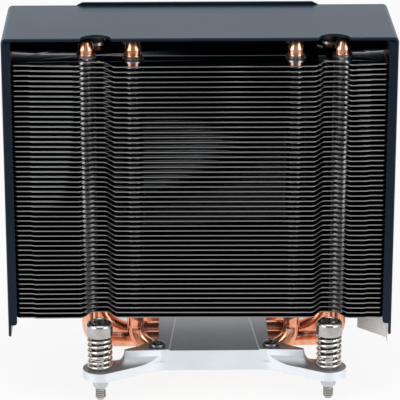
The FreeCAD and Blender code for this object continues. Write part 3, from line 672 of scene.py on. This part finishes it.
pan_low, pan_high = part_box("base_screws")
pan_screws = []
for x in (pan_low.x + PAN_RADIUS, pan_high.x - PAN_RADIUS):
    for y in (pan_low.y + PAN_RADIUS, pan_high.y - PAN_RADIUS):
        seat = pan_high.z - PAN_HEIGHT
        pan_screw = turn_on_lathe(x, y, [
            (SHANK_RADIUS - 0.3 * MM, pan_low.z), (SHANK_RADIUS, pan_low.z + 0.3 * MM), (SHANK_RADIUS, seat),
            (PAN_RADIUS - 0.1 * MM, seat), (PAN_RADIUS, seat + 0.12 * MM), (PAN_RADIUS, seat + 0.75 * MM),
            (PAN_RADIUS - 0.12 * MM, seat + 1.10 * MM), (PAN_RADIUS - 0.42 * MM, seat + 1.38 * MM),
            (PAN_RADIUS - 0.95 * MM, seat + 1.57 * MM), (PAN_RADIUS - 1.70 * MM, seat + 1.67 * MM),
            (0.8 * MM, pan_high.z),
        ])
        clean(pan_screw, 40)
        for degrees in CROSS_TURNS:
            bpy.ops.mesh.primitive_cube_add(size=1, location=(x, y, pan_high.z))
            blade = bpy.context.object
            blade.scale = CROSS_SIZE
            blade.rotation_euler.z = math.radians(degrees)
            cut(pan_screw, blade)
        clean(pan_screw, 40)
        pan_screws.append(pan_screw)
fit(join(pan_screws), "pan_head_screws", dark_steel, "dark_steel", "root", "base_screws")


# ---- Spring screws ----------------------------------------------------------------------------------
# Turned steel screws with a round polished cap, a six-lobed recess for the driver, a stem with a wide
# shoulder in dark steel, which is painted shade for the inside of the spring, and an M4 thread at the
# foot. Each is pressed down against its spring and turned.

THREAD_PITCH = 0.7 * MM
THREAD_STEPS = 24
THREAD_TOP = -3.5 * MM
THREAD_RUN_IN = 0.75 * MM
CORE_RADIUS = 1.55 * MM
CREST_RADIUS = 1.95 * MM
TIP_SET_BACK = 0.55 * MM
NECK_TOP = 1.5 * MM
STEM_RADIUS = 2 * MM
CAP_HEIGHT = 5.3 * MM
RECESS_RADIUS = 1.95 * MM
RECESS_DEPTH = 2.2 * MM
LOBE_COUNT = 6
LOBE_RADIUS = 0.6 * MM
LOBE_RING = 1.9 * MM
SHOULDER_RADIUS = 3.2 * MM
SHOULDER_BORE = 2.02 * MM
SHOULDER_LENGTH = 8.3 * MM
SHOULDER_GAP = 0.05 * MM

polished = Finish("polished steel", {"Metallic": 1.0})
turned_marks = polished.noise((1, 1, 40), 60, 3.0)
smears = polished.noise((1, 1, 1), 260)
polished.fill(polished.shader, {
    "Base Color": polished.blend(smears, [
        (0.35, (0.42, 0.41, 0.39, 1)),
        (0.65, (0.56, 0.55, 0.53, 1)),
    ]),
    "Roughness": smears * 0.14 + 0.07,
})
polished.relief(turned_marks, 0.01 * MM, 0.15)


def cut_thread(x, y, low, high):
    """A helical ridge of one thread pitch, closed at both ends and rooted in the core."""
    turns = (high - low) / THREAD_PITCH
    root = CORE_RADIUS - 0.08 * MM
    bpy.ops.mesh.primitive_circle_add(
        vertices=3, radius=CREST_RADIUS - CORE_RADIUS, fill_type="NGON",
        rotation=(math.pi / 2, 0, 0), location=(0, 0, 0))
    ridge = bpy.context.object
    bpy.ops.object.transform_apply(location=True, rotation=True, scale=True)
    work_on(ridge)
    bm = bmesh.from_edit_mesh(ridge.data)
    corners = ((root, -0.42), (CREST_RADIUS, 0), (root, 0.42))
    for vertex, (radius, rise) in zip(bm.verts, corners):
        vertex.co = Vector((radius, 0, low + rise * THREAD_PITCH))
    bmesh.update_edit_mesh(ridge.data)
    bpy.ops.mesh.select_all(action="SELECT")
    steps = round(turns * THREAD_STEPS)
    for step in range(steps):
        extrude(z=(high - low) / steps)
        bpy.ops.transform.rotate(
            value=-2 * math.pi * turns / steps, orient_axis="Z", center_override=(0, 0, 0))
    bpy.ops.object.mode_set(mode="OBJECT")
    ridge.location = (x, y, 0)
    return ridge


def make_screw(corner):
    """A spring screw turned on the lathe, with its recess cut and its thread run on."""
    low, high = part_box("spring_screw_" + corner)
    x = screw_places[corner].x
    y = screw_places[corner].y
    cap = (high.x - low.x) / 2
    cap_bottom = high.z - CAP_HEIGHT
    tip = low.z + TIP_SET_BACK
    profile = [
        (1.0 * MM, tip), (1.3 * MM, tip + 0.1 * MM), (CORE_RADIUS, tip + 0.5 * MM), (CORE_RADIUS, NECK_TOP),
        (STEM_RADIUS, NECK_TOP), (STEM_RADIUS, cap_bottom), (cap - 0.3 * MM, cap_bottom),
        (cap - 0.08 * MM, cap_bottom + 0.08 * MM), (cap, cap_bottom + 0.3 * MM), (cap, high.z - 1.25 * MM),
        (cap - 0.10 * MM, high.z - 0.88 * MM), (cap - 0.34 * MM, high.z - 0.50 * MM),
        (cap - 0.70 * MM, high.z - 0.20 * MM), (cap - 1.20 * MM, high.z - 0.03 * MM),
        (cap - 1.50 * MM, high.z), (3.0 * MM, high.z), (2.85 * MM, high.z - 0.15 * MM),
    ]
    screw = turn_on_lathe(x, y, profile)
    clean(screw)
    floor_height = high.z - RECESS_DEPTH
    above_cap = high.z + 1 * MM
    cut(screw, turn_on_lathe(x, y, [(RECESS_RADIUS, floor_height), (RECESS_RADIUS, above_cap)], 36))
    for lobe in range(LOBE_COUNT):
        turn = math.radians(360 / LOBE_COUNT * lobe + 30)
        place = (x + LOBE_RING * math.cos(turn), y + LOBE_RING * math.sin(turn))
        cut(screw, turn_on_lathe(*place, [(LOBE_RADIUS, floor_height), (LOBE_RADIUS, above_cap)], 16))
    clean(screw)
    join([screw, cut_thread(x, y, tip + THREAD_RUN_IN, THREAD_TOP)])
    clean(screw)
    node = "spring_screw_" + corner
    fit(screw, "captive_screw_" + corner, polished, "polished_steel", "screw_" + corner, node)


def make_shoulder(corner):
    """The shoulder under the cap, which keeps the spring's coils in line. Its dark steel is painted shade for
    the inside of the spring.
    """
    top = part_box("spring_screw_" + corner)[1].z - CAP_HEIGHT - SHOULDER_GAP
    foot = top - SHOULDER_LENGTH
    shoulder = turn_on_lathe(screw_places[corner].x, screw_places[corner].y, [
        (SHOULDER_BORE, foot), (SHOULDER_RADIUS - 0.4 * MM, foot), (SHOULDER_RADIUS, foot + 0.4 * MM),
        (SHOULDER_RADIUS, top), (SHOULDER_BORE, top), (SHOULDER_BORE, foot),
    ], hollow=True)
    clean(shoulder, 40)
    fit(shoulder, "shoulder_" + corner, dark_steel, "dark_steel", "screw_" + corner, "spring_screw_" + corner)


for corner in screw_places:
    make_screw(corner)
    make_shoulder(corner)


# ---- Retaining sleeves ------------------------------------------------------------------------------
# A turned steel sleeve snaps into each screw's groove under the bracket's pad and keeps the screw
# captive. It moves up and down with the screw but doesn't turn.

plain_steel = Finish("turned steel", {"Metallic": 1.0})
lathe_lines = plain_steel.noise((0.2, 0.2, 30), 240, 3.0)
plain_steel.fill(plain_steel.shader, {
    "Base Color": plain_steel.blend(lathe_lines, [
        (0.35, (0.50, 0.51, 0.52, 1)),
        (0.65, (0.66, 0.67, 0.68, 1)),
    ]),
    "Roughness": lathe_lines * 0.15 + 0.26,
})
plain_steel.relief(lathe_lines, 0.02 * MM, 0.3)

SLEEVE_BORE = 1.61 * MM
SLEEVE_FOOT = 2.25 * MM

for corner in screw_places:
    low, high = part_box("retainer_" + corner)
    side = (high.x - low.x) / 2
    sleeve = turn_on_lathe(screw_places[corner].x, screw_places[corner].y, [
        (SLEEVE_BORE, low.z), (SLEEVE_FOOT - 0.3 * MM, low.z), (SLEEVE_FOOT, low.z + 0.25 * MM),
        (side - 0.30 * MM, low.z + 0.65 * MM), (side - 0.12 * MM, low.z + 0.95 * MM),
        (side, low.z + 1.45 * MM), (side, high.z - 0.15 * MM),
        (side - 0.15 * MM, high.z), (SLEEVE_BORE, high.z), (SLEEVE_BORE, low.z),
    ], hollow=True)
    clean(sleeve, 40)
    fit(sleeve, "sleeve_" + corner, plain_steel, "plain_steel", "retainer_" + corner, "retainer_" + corner)


# ---- Springs ----------------------------------------------------------------------------------------
# A compression spring of bright wire round each screw's stem, with a closed coil at each end. It
# stands on the bracket's pad and pushes the cap up.

WIRE_RADIUS = 0.56 * MM
SPRING_TURNS = 6.5
SPRING_STEPS = 26
CLOSED_PITCH = 1.14 * MM

bright_wire = Finish("bright spring wire", {"Metallic": 1.0})
draw_lines = bright_wire.noise((1, 1, 6), 900, 3.0)
bright_wire.fill(bright_wire.shader, {
    "Base Color": bright_wire.blend(draw_lines, [
        (0.35, (0.56, 0.54, 0.49, 1)),
        (0.65, (0.74, 0.72, 0.67, 1)),
    ]),
    "Roughness": draw_lines * 0.10 + 0.10,
})
bright_wire.relief(draw_lines, 0.01 * MM, 0.2)


def wire_rise(turn, climb):
    """The wire's height after a number of turns: close turns at the ends, open ones between."""
    if turn <= 1:
        return turn * CLOSED_PITCH
    if turn >= SPRING_TURNS - 1:
        return climb - (SPRING_TURNS - turn) * CLOSED_PITCH
    share = (turn - 1) / (SPRING_TURNS - 2)
    return CLOSED_PITCH + share * (climb - 2 * CLOSED_PITCH)


def coil_spring(corner):
    """A spring of round wire round its screw's stem."""
    low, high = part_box("spring_" + corner)
    x = screw_places[corner].x
    y = screw_places[corner].y
    coil_radius = (high.x - low.x) / 2 - WIRE_RADIUS
    climb = high.z - low.z - 2 * WIRE_RADIUS
    wire = bpy.data.curves.new("wire", "CURVE")
    wire.dimensions = "3D"
    wire.bevel_depth = WIRE_RADIUS
    wire.bevel_resolution = 3
    wire.use_fill_caps = True
    spline = wire.splines.new("POLY")
    steps = round(SPRING_TURNS * SPRING_STEPS)
    spline.points.add(steps)
    for step, point in enumerate(spline.points):
        turn = step / SPRING_STEPS
        heading = 2 * math.pi * turn
        rise = low.z + WIRE_RADIUS + wire_rise(turn, climb)
        point.co = (x + coil_radius * math.cos(heading), y + coil_radius * math.sin(heading), rise, 1)
    spring = bpy.data.objects.new("spring", wire)
    bpy.context.scene.collection.objects.link(spring)
    pick(spring)
    bpy.ops.object.convert(target="MESH")
    clean(spring, 50)
    fit(spring, "coil_" + corner, bright_wire, "spring_steel", "root", "spring_" + corner)
    press = next(joint for joint in frame["joints"] if joint["name"] == "press_" + corner)
    travel = -press["range_m"][0]
    "press_" + corner
    1 - travel / (high.z - low.z)
    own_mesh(spring)


for corner in screw_places:
    coil_spring(corner)


# ---- Paper tag --------------------------------------------------------------------------------------
# A bare slip of pale paper glued inside the right wall, with its free flap turned away from it.

tag_paper = Finish("bare paper", {"Metallic": 0.0, "Specular IOR Level": 0.25})
fibres = tag_paper.noise((1, 1, 1), 2600, 5.0)
tag_paper.fill(tag_paper.shader, {
    "Base Color": tag_paper.blend(fibres, [
        (0.3, (0.72, 0.71, 0.69, 1)),
        (0.7, (0.86, 0.85, 0.83, 1)),
    ]),
    "Roughness": fibres * 0.2 + 0.7,
})
tag_paper.relief(fibres, 0.02 * MM, 0.3)

tag = copy_of("wall_tag")
break_edges(tag, 0.05 * MM)
clean(tag)
fit(tag, "paper_tag", tag_paper, "paper", "root", "wall_tag")


# ---- Floor, light and camera ------------------------------------------------------------------------
# A pale floor under the screws' feet, a white surround, a broad soft lamp at each side in front and
# one above, and a long lens that looks a little down on the front.

CAMERA_PLACE = (-0.0195, -0.8425, 0.3560)
CAMERA_TURN = (70.6, 0.0, -1.0)
LENS = 216
FRONT_LEVEL = 0.4
FLOOR_FADE = (-0.26, -0.12)
SKY_FADE = (-0.75, -0.35)

bpy.ops.mesh.primitive_plane_add(size=6, location=(0, 0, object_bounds()[0].z))
floor = bpy.context.object
floor.name = "floor"
pale = Finish("pale floor", {"Base Color": (0.86, 0.86, 0.86, 1), "Roughness": 0.9})


def bright_away_from_front(nodes, start, end):
    """White, but for the front, where the studio behind the camera is dim."""
    here = nodes.node("ShaderNodeTexCoord", {}, {}, "Object")
    forward = nodes.node("ShaderNodeSeparateXYZ", {}, {0: here}, "Y")
    sockets = {"Value": forward, 1: start, 2: end, 3: FRONT_LEVEL, 4: 1.0}
    return nodes.node("ShaderNodeMapRange", {"interpolation_type": "SMOOTHSTEP"}, sockets)


def background_rays(nodes):
    """The share of the background's own look in what a ray sees, for each kind of ray."""
    camera_ray = nodes.node("ShaderNodeLightPath", {}, {}, "Is Camera Ray")
    clear_ray = nodes.node("ShaderNodeLightPath", {}, {}, "Is Transmission Ray")
    mirror_ray = nodes.node("ShaderNodeLightPath", {}, {}, "Is Glossy Ray")
    return camera_ray + clear_ray, mirror_ray


plain_rays, mirror_rays = background_rays(pale)
white = pale.node("ShaderNodeEmission", {}, {"Color": (1, 1, 1, 1), "Strength": 1.0})
fading = bright_away_from_front(pale, *FLOOR_FADE)
mirrored = pale.node("ShaderNodeEmission", {}, {"Color": (1, 1, 1, 1), "Strength": fading})
lit = Value(pale, pale.shader.outputs[0])
floor_mix = pale.node("ShaderNodeMixShader", {}, {0: plain_rays * 0.88, 1: lit, 2: white})
floor_mix = pale.node("ShaderNodeMixShader", {}, {0: mirror_rays * 0.9, 1: floor_mix, 2: mirrored})
pale.tree.links.new(floor_mix.socket, pale.tree.nodes["Material Output"].inputs["Surface"])
floor.data.materials.append(pale.material)

world = bpy.data.worlds.new("surround")
bpy.context.scene.world = world
world.use_nodes = True
sky = Nodes(world.node_tree)
sky.tree.nodes.clear()
plain_rays, mirror_rays = background_rays(sky)
ambient = sky.node("ShaderNodeBackground", {}, {"Color": (0.92, 0.95, 1.0, 1), "Strength": 0.55})
seen = sky.node("ShaderNodeBackground", {}, {"Color": (1, 1, 1, 1), "Strength": 1.0})
fading = bright_away_from_front(sky, *SKY_FADE)
mirrored = sky.node("ShaderNodeBackground", {}, {"Color": (0.93, 0.97, 1, 1), "Strength": fading})
surround = sky.node("ShaderNodeMixShader", {}, {0: plain_rays, 1: ambient, 2: seen})
surround = sky.node("ShaderNodeMixShader", {}, {0: mirror_rays, 1: surround, 2: mirrored})
world_output = sky.tree.nodes.new("ShaderNodeOutputWorld")
sky.fill(world_output, {"Surface": surround})


def hang_lamp(name, place, target, width, height, watts):
    """A rectangular soft lamp, turned to its target."""
    lamp_data = bpy.data.lights.new(name, "AREA")
    lamp_data.shape = "RECTANGLE"
    lamp_data.size = width
    lamp_data.size_y = height
    lamp_data.energy = watts
    lamp = bpy.data.objects.new(name, lamp_data)
    lamp.location = place
    lamp.rotation_euler = (Vector(target) - Vector(place)).to_track_quat("-Z", "Y").to_euler()
    bpy.context.scene.collection.objects.link(lamp)


hang_lamp("left_lamp", (-0.74, -0.58, 0.28), (0, 0, 0.05), 0.6, 0.8, 5)
hang_lamp("right_lamp", (0.74, -0.58, 0.28), (0, 0, 0.05), 0.6, 0.8, 5)
hang_lamp("top_lamp", (0.0, -0.25, 1.2), (0, 0, 0.06), 0.8, 0.6, 3)

camera_data = bpy.data.cameras.new("camera")
camera_data.sensor_width = 36
camera_data.lens = LENS
camera = bpy.data.objects.new("camera", camera_data)
camera.location = CAMERA_PLACE
camera.rotation_euler = [math.radians(angle) for angle in CAMERA_TURN]
bpy.context.scene.collection.objects.link(camera)
bpy.context.scene.camera = camera
bpy.context.scene.view_settings.view_transform = "Standard"
